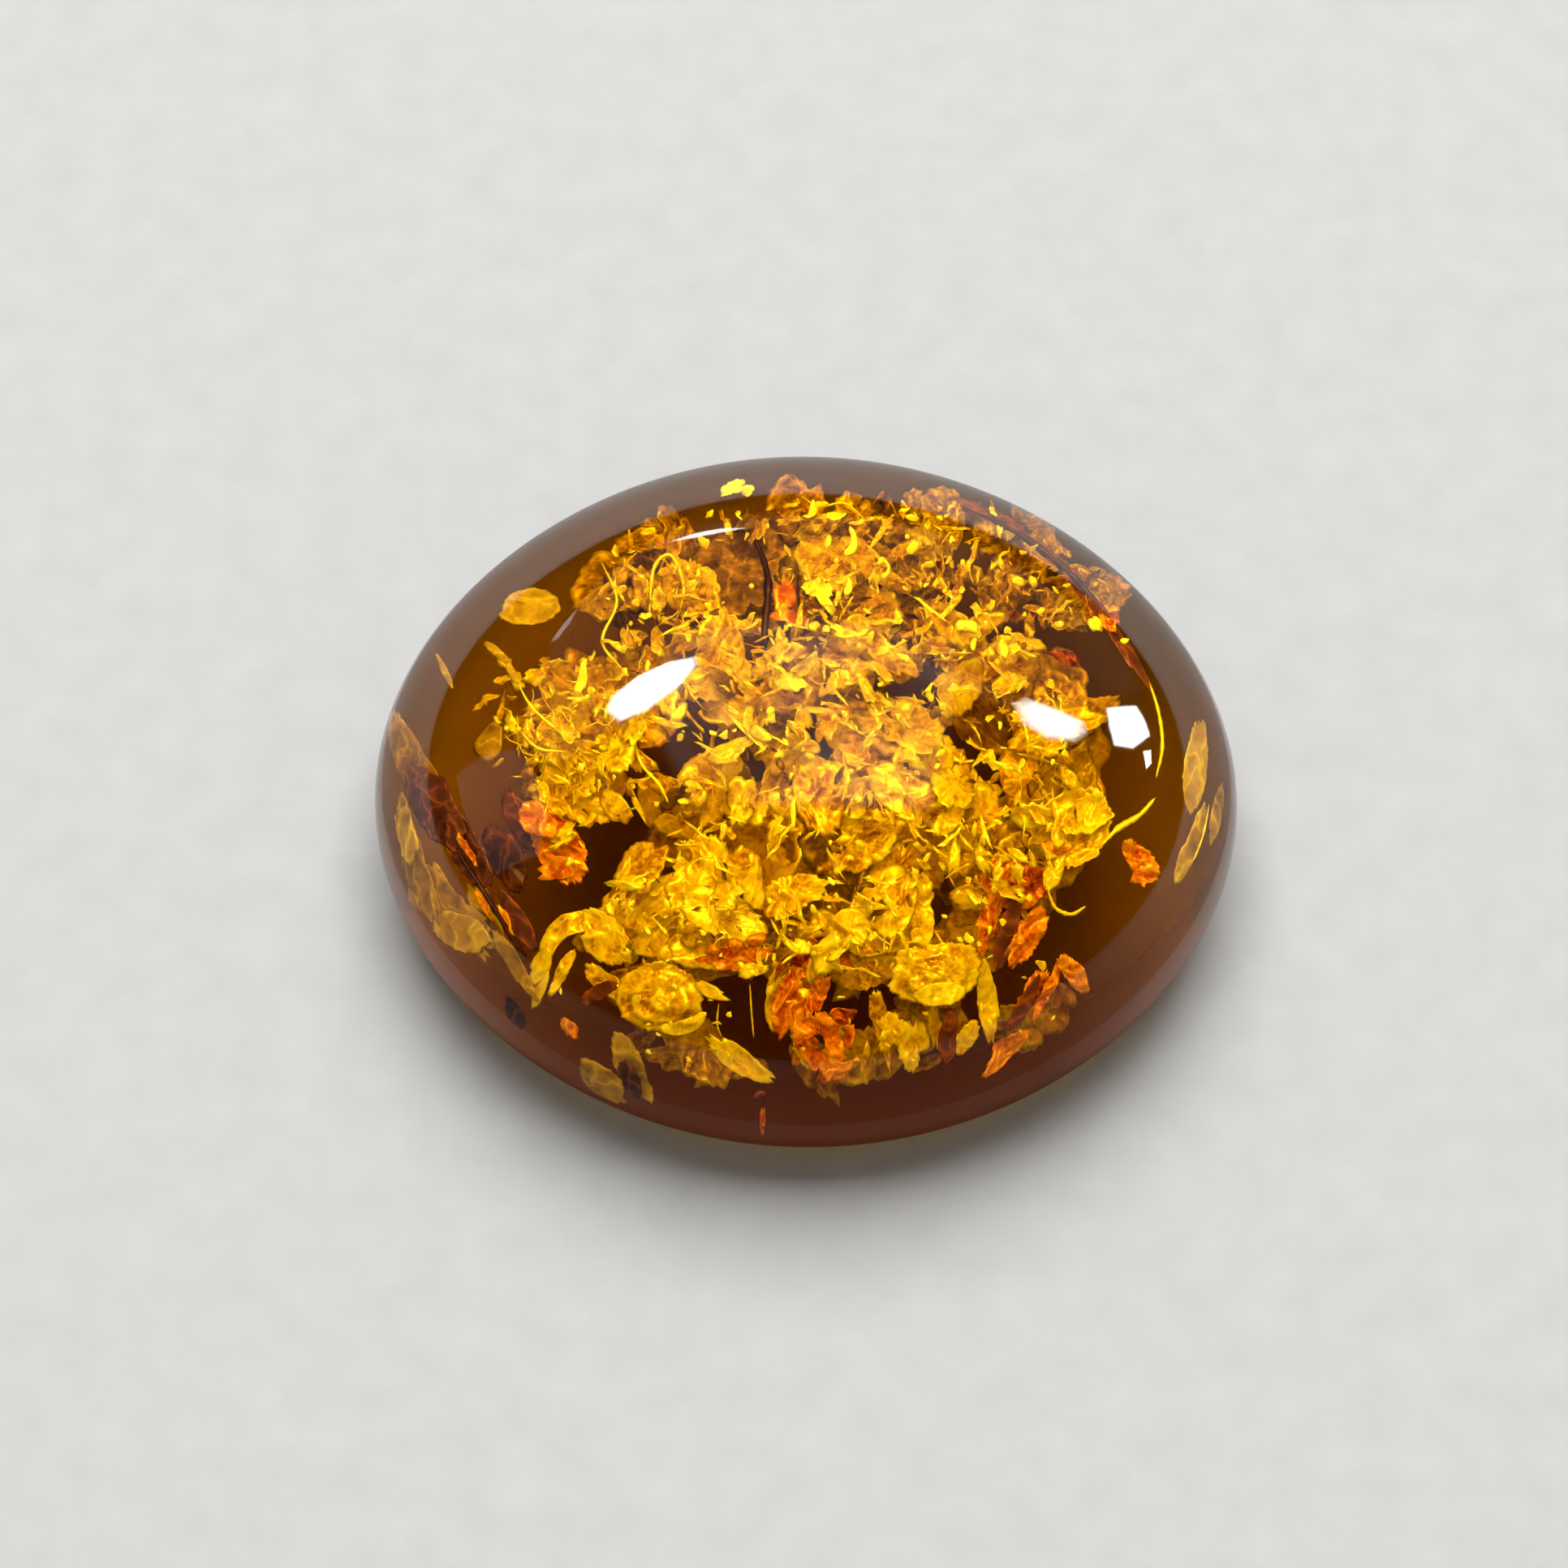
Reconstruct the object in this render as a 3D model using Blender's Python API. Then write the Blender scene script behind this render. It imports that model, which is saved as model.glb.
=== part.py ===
"""An oval amber cabochon: a tall polished dome on a flat back, with a crowd of sun spangles inside it.

Units are metres, +Z is up, +X runs along the stone's length, and the origin is the middle of the flat back.

The stone is one piece of fossil resin. Its solid is parted at the girdle, where it is widest, and has a pocket over
the parting, in which the solid of the spangles lies. Spangles are the round cracks that flash gold in the resin.
"""

import math
import random

import bmesh
import bpy
from mathutils import Matrix, Vector

LENGTH = 0.0200  # along X, at the girdle, the stone's widest line
WIDTH = 0.0173  # along Y, at the girdle
DOME_RISE = 0.0059  # from the girdle to the top of the dome
GIRDLE_HEIGHT = 0.0024  # from the flat back to the girdle
BACK_SHARE = 0.80  # the flat back's outline as a share of the girdle's
DRAWN_IN = 0.0138  # how far the girdle's four quarters lie inside a true ellipse, as a share
GAP = 0.0003  # between solids that meet

POCKET_SHARE = 0.90  # the pocket's outline as a share of the girdle's
POCKET_RISE = 0.0053  # from the girdle to the top of the pocket

SPANGLE_RADII = 0.0012, 0.0017
SPANGLE_THICKNESS = 0.00045  # in the middle
RIM_SHARE = 0.6  # the rim's thickness as a share of that
SPANGLE_CORNERS = 7
SPANGLE_LEAN = math.radians(40)  # the most that one leans away from the dome's own slope
SPANGLE_REACH = 1.25  # from the middle of one to the next, as a share of its radius
SPANGLE_SPACING = 0.0015  # the least distance between the middles of two
CLOUD_DEPTH = 0.60, 0.80  # where their middles lie between the stone's middle, 0, and the dome's surface, 1
CLOUD_SHARE = 0.70  # how far out they lie, as a share of the girdle's outline
GROWTH_TRIES = 4000
GROWTH_SEED = 3

OUTLINE_STEPS = 72
DOME_STEPS = 18
EDGE_STEPS = 6
POCKET_STEPS = 8

AMBER_COLOUR = (0.62, 0.24, 0.02, 1.0)
AMBER_ROUGHNESS = 0.03
AMBER_IOR = 1.54
SPANGLE_COLOUR = (0.90, 0.45, 0.01, 1.0)
SPANGLE_ROUGHNESS = 0.35
SPANGLE_METALLIC = 0.4


def clear_scene():
    for obj in list(bpy.data.objects):
        bpy.data.objects.remove(obj)


def outline_point(angle, share, height):
    """A point of the oval outline, shrunk to a share of its full size, at a height."""
    reach = share * (1 - DRAWN_IN * (share * math.sin(2 * angle)) ** 2)
    return LENGTH / 2 * reach * math.cos(angle), WIDTH / 2 * reach * math.sin(angle), height


def edge_section():
    """The side from the flat back up to the girdle, as (share of the outline, height)."""
    turns = [math.pi / 2 * step / EDGE_STEPS for step in range(EDGE_STEPS + 1)]
    return [
        (BACK_SHARE + (1 - BACK_SHARE) * math.sin(turn), GIRDLE_HEIGHT * (1 - math.cos(turn))) for turn in turns
    ]


def dome_section(share, rise, steps):
    """A dome's side from the parting up to just short of its top, as (share of the outline, height)."""
    start = math.asin(GAP / rise)
    turns = [start + (math.pi / 2 - start) * step / steps for step in range(steps)]
    return [(share * math.cos(turn), GIRDLE_HEIGHT + rise * math.sin(turn)) for turn in turns]


def close_end(mesh, ring, point):
    """Closes a ring with a flat face, or with a fan of faces up to a point."""
    if point is None:
        mesh.faces.new(ring)
        return
    middle = mesh.verts.new(point)
    for here, after in zip(ring, ring[1:] + ring[:1]):
        mesh.faces.new((here, after, middle))


def oval_solid(name, section, first_point=None, last_point=None):
    """A solid whose skin runs through oval rings, closed at both ends."""
    mesh = bmesh.new()
    angles = [2 * math.pi * step / OUTLINE_STEPS for step in range(OUTLINE_STEPS)]
    rings = [[mesh.verts.new(outline_point(angle, *level)) for angle in angles] for level in section]
    for ring, following in zip(rings, rings[1:]):
        for here in range(OUTLINE_STEPS):
            after = (here + 1) % OUTLINE_STEPS
            mesh.faces.new((ring[here], ring[after], following[after], following[here]))
    close_end(mesh, rings[0][::-1], first_point)
    close_end(mesh, rings[-1], last_point)
    return finished(name, mesh)


def finished(name, mesh):
    """The mesh as an object, shaded smooth but for its sharp edges."""
    data = bpy.data.meshes.new(name)
    mesh.to_mesh(data)
    mesh.free()
    data.shade_smooth()
    data.set_sharp_from_angle(angle=math.radians(35))
    obj = bpy.data.objects.new(name, data)
    bpy.context.scene.collection.objects.link(obj)
    return obj


def upper_part():
    """The dome above the parting: its skin runs down the pocket's wall, across the parting and up the outside."""
    pocket = dome_section(POCKET_SHARE, POCKET_RISE, POCKET_STEPS)
    outside = dome_section(1, DOME_RISE, DOME_STEPS)
    pocket_top = 0, 0, GIRDLE_HEIGHT + POCKET_RISE
    dome_top = 0, 0, GIRDLE_HEIGHT + DOME_RISE
    return oval_solid("amber_cabochon", pocket[::-1] + outside, pocket_top, dome_top)


def lower_part():
    return oval_solid("amber_back", edge_section())


def out_of(point, share, rise):
    """How far out a point lies in a dome over the girdle's plane: 0 in the middle, 1 on the dome's surface."""
    flat = math.hypot(point.x / (LENGTH / 2 * share), point.y / (WIDTH / 2 * share))
    return math.hypot(flat, (point.z - GIRDLE_HEIGHT) / rise)


def in_cloud(point):
    """Whether a spangle may have its middle at a point."""
    if point.z < GIRDLE_HEIGHT + 2 * GAP:
        return False
    if math.hypot(point.x / (LENGTH / 2), point.y / (WIDTH / 2)) > CLOUD_SHARE:
        return False
    return CLOUD_DEPTH[0] < out_of(point, 1, DOME_RISE) < CLOUD_DEPTH[1]


def kept_in_pocket(point):
    """The point, or where it would lie too near the pocket's wall or floor, one that keeps the gap."""
    middle = Vector((0, 0, GIRDLE_HEIGHT))
    room = 1 - 1.25 * GAP / POCKET_RISE
    out = out_of(point, POCKET_SHARE, POCKET_RISE) / room
    if out > 1:
        point = middle + (point - middle) / out
    return Vector((point.x, point.y, max(point.z, GIRDLE_HEIGHT + GAP + SPANGLE_THICKNESS * RIM_SHARE / 2)))


class Spangle:
    """A thin disc with a ragged rim. It crosses an earlier one along the line between their middles."""

    def __init__(self, middle, earlier, chance):
        self.middle = middle
        self.radius = chance.uniform(*SPANGLE_RADII)
        self.along = (earlier - middle).normalized()
        slope = (middle.x / LENGTH**2, middle.y / WIDTH**2, (middle.z - GIRDLE_HEIGHT) / (2 * DOME_RISE) ** 2)
        level = Vector(slope).cross(self.along).normalized()
        lean = Matrix.Rotation(chance.uniform(-SPANGLE_LEAN, SPANGLE_LEAN), 3, self.along)
        self.across = lean @ level
        self.facing = self.along.cross(self.across)

    def at(self, bearing, reach):
        return self.middle + (self.along * math.cos(bearing) + self.across * math.sin(bearing)) * self.radius * reach

    def add_to(self, mesh, chance):
        """Adds the disc: two fans of faces, over and under a rim that is crumpled up and down."""
        half = self.facing * SPANGLE_THICKNESS / 2
        over, under = [], []
        for corner in range(SPANGLE_CORNERS):
            bearing = 2 * math.pi * (corner + chance.uniform(-0.25, 0.25)) / SPANGLE_CORNERS
            crumple = self.facing * self.radius * chance.uniform(-0.15, 0.15)
            rim = kept_in_pocket(self.at(bearing, chance.uniform(0.85, 1.15)) + crumple)
            over.append(mesh.verts.new(rim + half * RIM_SHARE))
            under.append(mesh.verts.new(rim - half * RIM_SHARE))
        for here in range(SPANGLE_CORNERS):
            after = (here + 1) % SPANGLE_CORNERS
            mesh.faces.new((over[here], under[here], under[after], over[after]))
        close_end(mesh, over, self.middle + half)
        close_end(mesh, under[::-1], self.middle - half)


def grown_spangles(chance):
    """The spangles, each grown beside an earlier one, so that they all hang together."""
    middle = Vector((0, 0, GIRDLE_HEIGHT + 0.7 * DOME_RISE))
    spangles = [Spangle(middle, middle + Vector((1, 0, 0)), chance)]
    for _ in range(GROWTH_TRIES):
        earlier = chance.choice(spangles)
        middle = earlier.at(chance.uniform(0, 2 * math.pi), SPANGLE_REACH)
        crowded = any((middle - other.middle).length < SPANGLE_SPACING for other in spangles)
        if in_cloud(middle) and not crowded:
            spangles.append(Spangle(middle, earlier.middle, chance))
    return spangles


def sun_spangles():
    """All the spangles as one solid: their discs are joined where they cross."""
    chance = random.Random(GROWTH_SEED)
    first, *others = grown_spangles(chance)
    mesh, first_mesh = bmesh.new(), bmesh.new()
    for spangle in others:
        spangle.add_to(mesh, chance)
    first.add_to(first_mesh, chance)
    cluster = finished("sun_spangles", mesh)
    guide = finished("first_spangle", first_mesh)
    guide.hide_render = True
    guide.display_type = "WIRE"
    join = cluster.modifiers.new("join", "BOOLEAN")
    join.operation = "UNION"
    join.object = guide
    join.use_self = True
    return cluster


def glass_like(name, colour, roughness):
    material, surface = new_material(name, colour, roughness)
    surface["IOR"].default_value = AMBER_IOR
    surface["Transmission Weight"].default_value = 1.0
    return material


def new_material(name, colour, roughness):
    material = bpy.data.materials.new(name)
    material.use_nodes = True
    surface = material.node_tree.nodes["Principled BSDF"].inputs
    surface["Base Color"].default_value = colour
    surface["Roughness"].default_value = roughness
    surface["Metallic"].default_value = 0.0
    return material, surface


def main():
    clear_scene()
    amber = glass_like("amber", AMBER_COLOUR, AMBER_ROUGHNESS)
    upper_part().data.materials.append(amber)
    lower_part().data.materials.append(amber)
    gold, surface = new_material("gold_spangle", SPANGLE_COLOUR, SPANGLE_ROUGHNESS)
    surface["Metallic"].default_value = SPANGLE_METALLIC
    sun_spangles().data.materials.append(gold)


main()
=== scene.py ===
# An oval amber cabochon full of sun spangles: the crumpled disc-shaped cracks that flash gold inside it.

import math

import bpy
import numpy as np
from mathutils import Matrix, Vector
from mathutils.bvhtree import BVHTree


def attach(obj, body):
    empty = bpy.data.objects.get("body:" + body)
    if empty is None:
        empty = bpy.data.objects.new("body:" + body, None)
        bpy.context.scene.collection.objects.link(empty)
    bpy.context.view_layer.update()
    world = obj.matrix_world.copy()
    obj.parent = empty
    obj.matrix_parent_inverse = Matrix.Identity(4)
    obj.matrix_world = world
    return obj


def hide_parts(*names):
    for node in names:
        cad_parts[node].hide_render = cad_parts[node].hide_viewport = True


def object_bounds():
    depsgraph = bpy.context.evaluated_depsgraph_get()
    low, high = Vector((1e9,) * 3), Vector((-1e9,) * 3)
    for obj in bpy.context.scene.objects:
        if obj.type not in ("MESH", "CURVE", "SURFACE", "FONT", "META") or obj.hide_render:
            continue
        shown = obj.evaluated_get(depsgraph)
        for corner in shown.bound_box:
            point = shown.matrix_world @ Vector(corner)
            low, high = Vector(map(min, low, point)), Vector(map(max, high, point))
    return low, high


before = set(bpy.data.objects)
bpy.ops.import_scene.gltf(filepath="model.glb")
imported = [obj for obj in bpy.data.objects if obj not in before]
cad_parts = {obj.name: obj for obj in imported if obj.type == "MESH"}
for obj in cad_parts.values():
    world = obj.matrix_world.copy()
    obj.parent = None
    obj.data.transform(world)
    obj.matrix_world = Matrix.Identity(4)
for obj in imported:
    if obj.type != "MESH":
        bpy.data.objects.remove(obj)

cad_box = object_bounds()

MM = 0.001
STONE_NODES = "amber_cabochon", "amber_back"
SPANGLE_NODE = "sun_spangles"

# The stone's form, as its solids have it.
LOWEST, HIGHEST = cad_box
HALF_LENGTH = (HIGHEST[0] - LOWEST[0]) / 2
HALF_WIDTH = (HIGHEST[1] - LOWEST[1]) / 2
HEIGHT = HIGHEST[2] - LOWEST[2]
GIRDLE_HEIGHT = 2.4 * MM
DOME_RISE = HEIGHT - GIRDLE_HEIGHT
BACK_SHARE = 0.80
DRAWN_IN = 0.0138

OUTLINE_STEPS = 204
BACK_STEPS = 24
DOME_STEPS = 72
EDGE_STEPS = 36
AMBER_IOR = 1.54
FLOOR_GAP = 0.03 * MM

# What the amber takes out of the light on each millimetre: a little red, more green and nearly all blue.
ABSORBED_PER_MM = (0.092, 0.196, 0.75)

# The camera. Pixels are those of the photograph, which is square.
PHOTO_SIDE = 1932
FOCAL_PIXELS = 5906
SENSOR_MM = 36
CAMERA_ELEVATION = math.radians(60)
CAMERA_ROLL = math.radians(0.93)
CAMERA_DISTANCE = 110 * MM
AIM = Vector((0, 0, 4 * MM))
AIM_PIXEL = (994.1, 939.5)
STONE_PIXEL = (993, 990)  # the middle of the stone's outline

SEED = 7
rng = np.random.default_rng(SEED)


def camera_axes():
    """The camera's right, up and backward directions."""
    right = Vector((1, 0, 0))
    up = Vector((0, math.sin(CAMERA_ELEVATION), math.cos(CAMERA_ELEVATION)))
    back = Vector((0, -math.cos(CAMERA_ELEVATION), math.sin(CAMERA_ELEVATION)))
    turn, lift = math.cos(CAMERA_ROLL), math.sin(CAMERA_ROLL)
    return right * turn + up * lift, up * turn - right * lift, back


RIGHT, UP, BACK = camera_axes()
PIXEL_AT_AIM = CAMERA_DISTANCE / FOCAL_PIXELS
EYE = (
    AIM
    + BACK * CAMERA_DISTANCE
    - RIGHT * (AIM_PIXEL[0] - PHOTO_SIDE / 2) * PIXEL_AT_AIM
    + UP * (AIM_PIXEL[1] - PHOTO_SIDE / 2) * PIXEL_AT_AIM
)


def make_camera():
    data = bpy.data.cameras.new("photo_camera")
    data.sensor_width = SENSOR_MM
    data.lens = FOCAL_PIXELS * SENSOR_MM / PHOTO_SIDE
    data.clip_start = 5 * MM
    data.clip_end = 10
    camera = bpy.data.objects.new("photo_camera", data)
    bpy.context.scene.collection.objects.link(camera)
    turn = Matrix((RIGHT, UP, BACK)).transposed().to_4x4()
    camera.matrix_world = Matrix.Translation(EYE) @ turn
    bpy.context.scene.camera = camera


def photo_ray(x, y):
    """The direction that a pixel of the photograph looks in."""
    half = PHOTO_SIDE / 2
    return (RIGHT * (x - half) - UP * (y - half) - BACK * FOCAL_PIXELS).normalized()


# The amber itself
def outline_point(angle, share, height):
    reach = share * (1 - DRAWN_IN * (share * math.sin(2 * angle)) ** 2)
    return HALF_LENGTH * reach * math.cos(angle), HALF_WIDTH * reach * math.sin(angle), height


def section():
    """(share, height) from near the middle of the flat back, round the side, to just short of the top."""
    levels = [(BACK_SHARE * (step + 1) / (BACK_STEPS + 1), 0) for step in range(BACK_STEPS)]
    for step in range(EDGE_STEPS):
        turn = math.pi / 2 * step / EDGE_STEPS
        share = BACK_SHARE + (1 - BACK_SHARE) * math.sin(turn)
        levels.append((share, GIRDLE_HEIGHT * (1 - math.cos(turn))))
    for step in range(DOME_STEPS):
        turn = math.pi / 2 * step / DOME_STEPS
        levels.append((math.cos(turn), GIRDLE_HEIGHT + DOME_RISE * math.sin(turn)))
    return levels


def stone_mesh():
    turns = [2 * math.pi * step / OUTLINE_STEPS for step in range(OUTLINE_STEPS)]
    points = [outline_point(turn, share, height) for share, height in section() for turn in turns]
    rings = len(points) // OUTLINE_STEPS
    bottom, top = len(points), len(points) + 1
    points += [(0, 0, 0), (0, 0, HEIGHT)]
    faces = []
    for ring in range(rings):
        for here in range(OUTLINE_STEPS):
            after = (here + 1) % OUTLINE_STEPS
            low_here, low_after = ring * OUTLINE_STEPS + here, ring * OUTLINE_STEPS + after
            if ring == 0:
                faces.append((bottom, after, here))
            if ring + 1 < rings:
                faces.append((low_here, low_after, low_after + OUTLINE_STEPS, low_here + OUTLINE_STEPS))
            else:
                faces.append((low_here, low_after, top))
    mesh = bpy.data.meshes.new("amber_stone")
    mesh.from_pydata(points, [], faces)
    mesh.shade_smooth()
    return mesh, BVHTree.FromPolygons(points, faces)


def dome_normal(point):
    """The way the dome's surface faces at a point on it."""
    slope = (
        point.x / HALF_LENGTH**2,
        point.y / HALF_WIDTH**2,
        (point.z - GIRDLE_HEIGHT) / DOME_RISE**2,
    )
    return Vector(slope).normalized()


def look_inside(x, y, depth):
    """The point seen at a pixel, that many millimetres in, and the direction it is looked at in."""
    ray = photo_ray(x, y)
    hit = stone_tree.ray_cast(EYE, ray)[0]
    facing = dome_normal(hit)
    bend = 1 / AMBER_IOR
    along = -ray.dot(facing)
    inward = ray * bend + facing * (bend * along - math.sqrt(1 - bend**2 * (1 - along**2)))
    return hit + inward * depth * MM, inward


def on_stone(x, y):
    """Whether a pixel shows the stone, and not its very edge."""
    centre_x, centre_y = STONE_PIXEL
    ray = photo_ray(centre_x + (x - centre_x) * 1.04, centre_y + (y - centre_y) * 1.04)
    return stone_tree.ray_cast(EYE, ray)[0] is not None


def mirrored(x, y, distance):
    """The place, at a distance from the stone, whose reflection on the dome is seen at a pixel."""
    ray = photo_ray(x, y)
    hit = stone_tree.ray_cast(EYE, ray)[0]
    facing = dome_normal(hit)
    return hit + (ray - facing * 2 * ray.dot(facing)) * distance


def keep_inside(points):
    """Draws points that lie too near the stone's surface back under it."""
    margin = 0.975
    x, y, z = points.T
    turn = np.arctan2(y / HALF_WIDTH, x / HALF_LENGTH)
    reach = np.hypot(x / HALF_LENGTH, y / HALF_WIDTH)
    share = reach.copy()
    for _ in range(4):
        share = reach / (1 - DRAWN_IN * (share * np.sin(2 * turn)) ** 2)
    z = np.maximum(z, 0.12 * MM)
    above = np.hypot(share, (z - GIRDLE_HEIGHT) / DOME_RISE)
    drop = np.clip(1 - z / GIRDLE_HEIGHT, 0, 1)
    below = share / (BACK_SHARE + (1 - BACK_SHARE) * np.sqrt(1 - drop**2))
    over = np.where(z > GIRDLE_HEIGHT, above, below)
    shrink = np.minimum(1, margin / np.maximum(over, 1e-6))
    height = np.where(z > GIRDLE_HEIGHT, GIRDLE_HEIGHT + (z - GIRDLE_HEIGHT) * shrink, z)
    return np.stack([x * shrink, y * shrink, height], 1)


# Sheets: thin closed lenses, crumpled, with a ragged edge
class Family:
    """Many small pieces that share a material, gathered as arrays and joined in one mesh."""

    def __init__(self, name):
        self.name = name
        self.points = []
        self.faces = []
        # Values the material reads at each point: the tone, and where painted highlights go, along the
        # crests and round the rim.
        self.marks = {"tone": [], "crest": [], "rim": []}
        self.count = 0

    def add(self, points, faces, tone, crest, rim):
        self.points.append(points)
        self.faces.append(faces + self.count)
        self.count += len(points)
        self.marks["tone"].append(np.full(len(points), tone))
        self.marks["crest"].append(crest)
        self.marks["rim"].append(rim)

    def make(self, material):
        points = keep_inside(np.concatenate(self.points))
        faces = np.concatenate(self.faces)
        mesh = bpy.data.meshes.new(self.name)
        mesh.from_pydata(points.tolist(), [], faces.tolist())
        mesh.shade_smooth()
        for mark, values in self.marks.items():
            layer = mesh.attributes.new(mark, "FLOAT", "POINT")
            layer.data.foreach_set("value", np.concatenate(values).astype(np.float32))
        piece = bpy.data.objects.new(self.name, mesh)
        bpy.context.scene.collection.objects.link(piece)
        mesh.materials.append(material)
        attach(piece, "root")
        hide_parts(SPANGLE_NODE)


def sheet_faces(rings, segments, hollow):
    """Triangles of a closed lens: two sides that share the outer ring, and the inner one too if hollow.

    Points come in this order: the upper rings from the middle out, the lower rings but for the shared
    ones, and, where there is no hole, the upper and the lower middle.
    """
    first_lower = 1 if hollow else 0
    upper_count = rings * segments
    lower_rings = range(first_lower, rings - 1)

    def upper(ring, step):
        return ring * segments + step % segments

    def lower(ring, step):
        if ring not in lower_rings:
            return upper(ring, step)
        return upper_count + (ring - first_lower) * segments + step % segments

    faces = []
    for ring in range(rings - 1):
        for step in range(segments):
            a, b = upper(ring, step), upper(ring, step + 1)
            c, d = upper(ring + 1, step + 1), upper(ring + 1, step)
            faces += [(a, d, c), (a, c, b)]
            a, b = lower(ring, step), lower(ring, step + 1)
            c, d = lower(ring + 1, step + 1), lower(ring + 1, step)
            faces += [(a, c, d), (a, b, c)]
    if not hollow:
        middle = upper_count + len(lower_rings) * segments
        for step in range(segments):
            faces.append((middle, upper(0, step), upper(0, step + 1)))
            faces.append((middle + 1, lower(0, step + 1), lower(0, step)))
    return np.array(faces)


face_sets = {}


def ragged(turns, amount):
    """A torn outline round a circle of one: nearly straight sides between uneven corners, finely frayed."""
    corners = rng.integers(7, 13)
    places = np.sort(rng.uniform(0, 2 * math.pi, corners))
    reaches = rng.uniform(1 - 1.8 * amount, 1 + amount, corners)
    outline = np.interp(turns, places, reaches, period=2 * math.pi)
    for waves in (3, 11, 19):
        height = amount * rng.uniform(0.1, 0.5) / waves**0.5
        outline += height * np.sin(waves * turns + rng.uniform(0, 6.28))
    return outline + rng.normal(0, amount * 0.18, len(turns))


def crumpled(x, y, folds, fold_depth):
    """Height and ridge lines of a crumpled foil at points in millimetres."""
    height = np.zeros_like(x)
    ridge = np.zeros_like(x)
    sway = rng.uniform(0, 6.28, 4)
    x = x + 0.10 * np.sin(5.2 * y + sway[0]) + 0.05 * np.sin(13 * y + sway[1])
    y = y + 0.10 * np.sin(4.6 * x + sway[2]) + 0.05 * np.sin(11 * x + sway[3])
    for fold in range(folds):
        heading = rng.uniform(0, math.pi)
        per_mm = rng.uniform(0.8, 1.3) * 1.45**fold
        along = (x * math.cos(heading) + y * math.sin(heading)) * per_mm + rng.uniform()
        wave = 1 - np.abs((along % 1) * 2 - 1)
        height += fold_depth / per_mm * wave
        ridge = np.maximum(ridge, wave**10)
    return height - height.mean(), ridge


def add_sheet(
    family, middle, long_axis, short_axis, tone=None, hole=0.0, bend=0.0, point=0.0, bulge=0.0, curl=0.0,
    rag=0.2, folds=6, fold_depth=0.15, grain=0.07, thick=0.02, ripple=0.0, most_rings=18,
):  # fmt: skip
    """Adds one sheet. The axes are its half length and half breadth as vectors.

    Bulge, curl, ripple, grain and thick are in millimetres.
    """
    length, breadth = long_axis.length / MM, short_axis.length / MM
    rings = int(np.clip((1 - hole) * length / grain, 3, most_rings))
    segments = int(np.clip(2 * math.pi * (length + breadth) / 2 / grain, 12, most_rings * 4))
    key = rings, segments, hole > 0
    if key not in face_sets:
        face_sets[key] = sheet_faces(*key)
    turns = np.linspace(0, 2 * math.pi, segments, endpoint=False)
    outer, inner = ragged(turns, rag), ragged(turns, rag * 1.5)
    first = hole if hole else 1 / (rings + 1)
    reach = np.linspace(first, 1, rings)[:, None]
    mixed = inner * (1 - reach) + outer * reach if hole else outer * reach**0.1
    x = reach * mixed * np.cos(turns)
    y = reach * mixed * np.sin(turns)
    if not hole:
        x, y = x.ravel(), y.ravel()
    x, y = np.append(x.ravel(), 0.0), np.append(y.ravel(), 0.0)
    out = np.append((reach + 0 * turns).ravel(), 0.0)
    span = (out - first) / (1 - first) if hole else out
    y = y * (1 - point * np.clip((x + 1) / 2, 0, 1))
    lift, ridge = crumpled(x * length, y * breadth, folds, fold_depth)
    lift = lift + bulge * (1 - span**2) + curl * np.clip(span - 0.55, 0, 1) ** 2 * 4
    if ripple:
        rings_seen = np.cos(span * 2.4 * 2 * math.pi + np.append((0 * reach + outer).ravel(), 1) * 3)
        lift = lift + ripple * rings_seen
        ridge = np.maximum(ridge, np.clip(rings_seen, 0, 1) ** 6)
    if bend:
        arc, slender = bend * x, breadth / length
        x = np.sin(arc) * (1 / bend - y * slender)
        y = y * np.cos(arc) + (1 - np.cos(arc)) / bend / slender
    wedge = thick * np.sqrt(np.clip(4 * span * (1 - span), 0, 1)) if hole else thick * np.sqrt(1 - out**2)
    facing = long_axis.cross(short_axis).normalized()
    base = np.array(middle) + np.outer(x, long_axis) + np.outer(y, short_axis)
    above = base + np.outer((lift + wedge) * MM, facing)
    under = base + np.outer((lift - wedge) * MM, facing)
    count = rings * segments
    low = slice(segments if hole else 0, count - segments)
    if hole:
        picks = [above[:count], under[low]]
        marks = [np.concatenate([v[:count], v[low]]) for v in (ridge, span)]
    else:
        picks = [above[:count], under[low], above[-1:], under[-1:]]
        marks = [np.concatenate([v[:count], v[low], v[-1:], v[-1:]]) for v in (ridge, span)]
    shade = rng.uniform() if tone is None else tone
    # The ridge lines, ripple crests included, and the rim go to the material, which paints highlights on
    # them.
    family.add(np.concatenate(picks), face_sets[key], shade, marks[0], marks[1] ** 6)


def smooth_path(corners, steps):
    """Points along a smooth curve through the corners."""
    corners = [Vector(corner) for corner in corners]
    ends = [corners[0] * 2 - corners[1], *corners, corners[-1] * 2 - corners[-2]]
    path = []
    for before, start, end, after in zip(ends, ends[1:], ends[2:], ends[3:]):
        for step in range(steps):
            t = step / steps
            path.append(
                (
                    start * 2
                    + (end - before) * t
                    + (before * 2 - start * 5 + end * 4 - after) * t**2
                    + (start * 3 - before - end * 3 + after) * t**3
                )
                / 2
            )
    return [*path, corners[-1]]


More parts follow.
